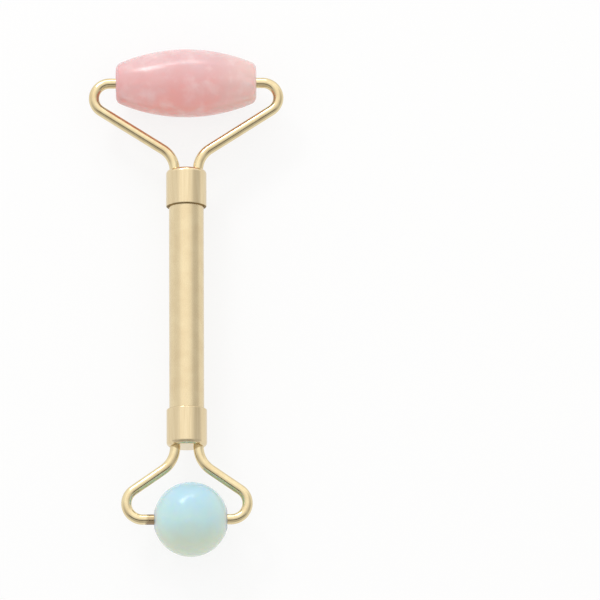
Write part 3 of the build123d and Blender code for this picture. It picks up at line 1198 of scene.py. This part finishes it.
centred = add(
    turned_stone,
    "GeometryNodeTransform",
    {"Geometry": ground, "Translation": sizes.outputs["Centre"]},
)
end_tree(turned_stone, sizes, keep_edges_crisp(turned_stone, centred, CRISP_STONE_EDGE))

# %% [markdown]
# An outline is drawn as half a section: how far along the axle, and how far from it. It
# starts at the bottom of the left bore, comes out over the stone, and goes down the right
# bore. Round stretches are arcs.

# %% Arcs and bores
SAME_RADIUS = 1e-6  # in millimetres, less than any real step


def arc(centre, radius, start, end, steps):
    """Points of an arc. The angles are measured from the axle's direction."""
    turn = [start + (end - start) * i / steps for i in range(steps + 1)]
    return [
        (centre[0] + radius * math.cos(a), centre[1] + radius * math.sin(a)) for a in turn
    ]


def with_bores(right_half, bore_end):
    """Adds the bore to the right half of an outline, and mirrors it for the left."""
    right = list(right_half)
    mouth_at, mouth_radius = right[-1]
    if mouth_radius > STONE_BORE_RADIUS + SAME_RADIUS:
        right.append((mouth_at, STONE_BORE_RADIUS))
    right += [(bore_end, STONE_BORE_RADIUS), (bore_end, 0)]
    return [(-x, r) for x, r in reversed(right[1:])] + right


def bore_end(stone, bush):
    """How far from the stone's middle its right bore ends."""
    return (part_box(bush)[0].x - box_centre(stone).x) / MM - BORE_PAST_BUSH


barrel_bore_end = bore_end("barrel_stone", "barrel_bush_right")
ball_bore_end = bore_end("ball_stone", "ball_bush_right")
print("bores end at, in mm:", round(barrel_bore_end, 2), round(ball_bore_end, 2))

# %% [markdown]
# The barrel's crown is one large arc that passes through the waist and both end faces, and
# a small arc rounds the edge where it meets the face. The ball is one arc, from the top
# down to the mouth of the bore.

# %% Outlines
CROWN_STEPS, EDGE_STEPS, BALL_STEPS = 40, 8, 48


def barrel_outline(length, diameter, bore_end):
    half, waist, end = length / 2, diameter / 2, BARREL_END_DIAMETER / 2
    edge = BARREL_EDGE_RADIUS
    crown = (half**2 + (waist - end) ** 2) / (2 * (waist - end))
    crown_centre = (0, waist - crown)
    edge_out = half - edge
    edge_up = math.sqrt((crown - edge) ** 2 - edge_out**2)
    meets = math.atan2(edge_up, edge_out)
    over = arc(crown_centre, crown, math.pi / 2, meets, CROWN_STEPS)
    rounded = arc((edge_out, crown_centre[1] + edge_up), edge, meets, 0, EDGE_STEPS)
    print("radius of the crown in mm:", round(crown, 1))
    return with_bores(over + rounded[1:], bore_end)


def ball_outline(diameter, bore_end):
    radius = diameter / 2
    mouth = math.asin(STONE_BORE_RADIUS / radius)
    return with_bores(arc((0, 0), radius, math.pi / 2, mouth, BALL_STEPS), bore_end)


barrel_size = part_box("barrel_stone")[1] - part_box("barrel_stone")[0]
ball_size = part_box("ball_stone")[1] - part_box("ball_stone")[0]
barrel_points = barrel_outline(barrel_size.x / MM, barrel_size.y / MM, barrel_bore_end)
ball_points = ball_outline(ball_size.y / MM, ball_bore_end)
print("points of the outlines:", len(barrel_points), len(ball_points))

# %% [markdown]
# Each stone is its own body, so it rides on that body and turns on the wire ends. A signed
# volume above nothing shows that its faces point outwards.

# %% Two stones
MILLILITRE = 1e-6


def make_stone(node, outline, body, finish, wave_depth, wave_size, seed):
    points = [(r * MM - LATHE_RADIUS, x * MM, 0) for x, r in outline]
    stone = run_tree(
        node + "_ground",
        polyline(node + "_outline", points),
        turned_stone,
        {
            "Centre": box_centre(node),
            "Steps Round": 128,
            "Wave Depth": wave_depth * MM,
            "Wave Size": wave_size * MM,
            "Bore Radius": STONE_BORE_RADIUS * MM,
            "Seed": seed,
            "Material": finish,
        },
    )
    build = bmesh.new()
    build.from_mesh(stone.data)
    volume = build.calc_volume(signed=True)
    build.free()
    print(node, "volume in ml:", round(volume / MILLILITRE, 3))
    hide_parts(node)
    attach(stone, body)


make_stone(
    "barrel_stone",
    barrel_points,
    "barrel",
    quartz,
    wave_depth=0.06,
    wave_size=9,
    seed=1.7,
)
make_stone(
    "ball_stone",
    ball_points,
    "ball",
    milk_glass,
    wave_depth=0.03,
    wave_size=8,
    seed=4.2,
)
